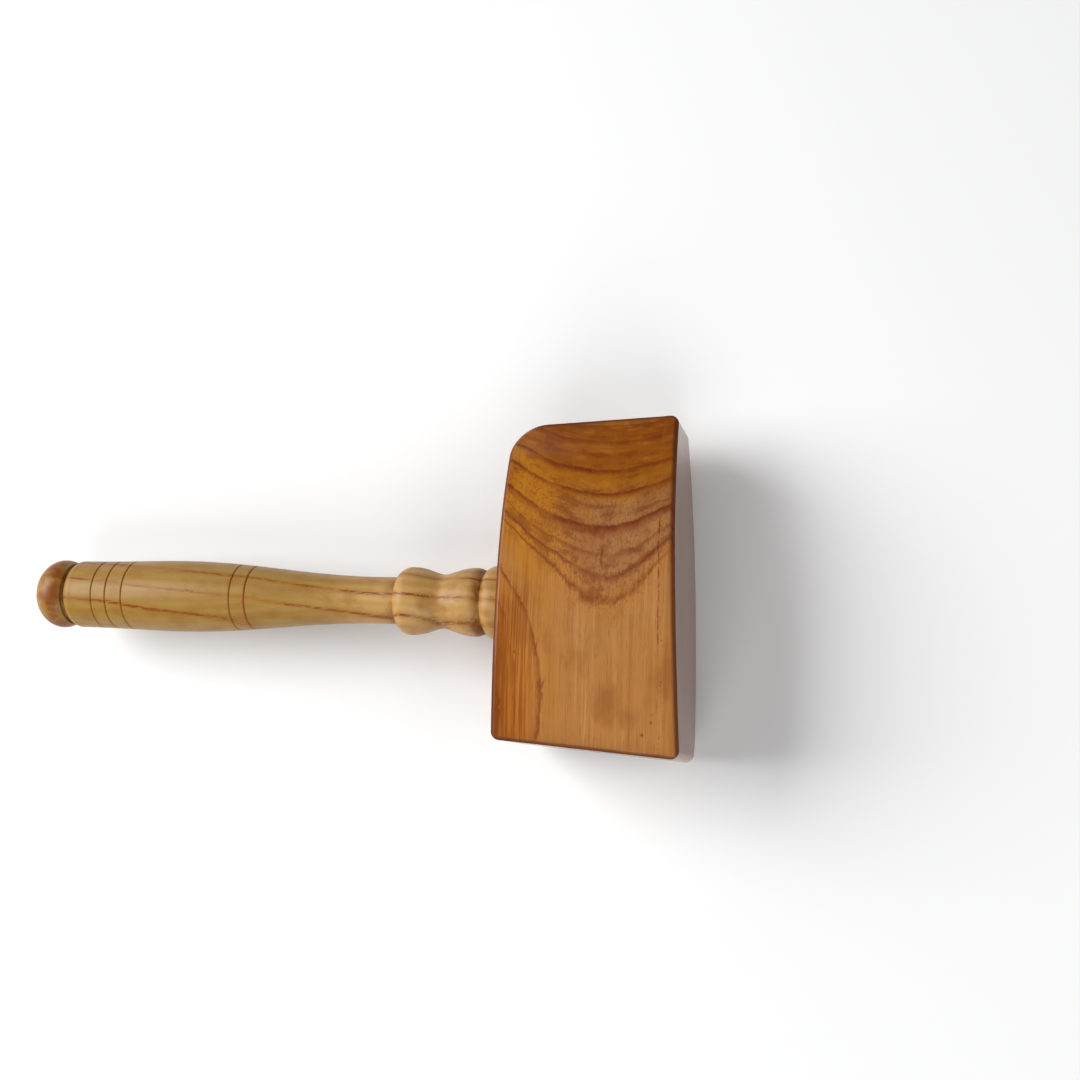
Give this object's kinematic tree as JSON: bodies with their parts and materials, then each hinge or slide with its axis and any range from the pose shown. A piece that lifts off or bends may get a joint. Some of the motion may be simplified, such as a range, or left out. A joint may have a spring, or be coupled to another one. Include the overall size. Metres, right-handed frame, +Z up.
{
  "type": "wooden mallet",
  "caption": "Carpenter's mallet with a barrel-shaped figured hardwood head and a turned, beaded pale wood handle with scribed rings on its grip",
  "frame": {"origin": "middle of the lower face of the bounding box, on the surface that the mallet lies on, rear cheek down", "axes": "+Y runs along the handle from the pommel to the top of the head, X is the striking axis from one striking face to the other, +Z is up, out of the front cheek"},
  "size_m": [0.1422, 0.3084, 0.0636],
  "materials": {
    "head_wood": "glossy clear varnish over orange-brown hardwood with dark curved figure",
    "handle_wood": "satin varnish over pale ring-porous wood, brown pore lines along the handle",
    "wedge_wood": "bare sawn hardwood"
  },
  "bodies": {
    "root": {"head": "head_wood", "handle": "handle_wood", "fox_wedge": "wedge_wood"}
  },
  "joints": []
}
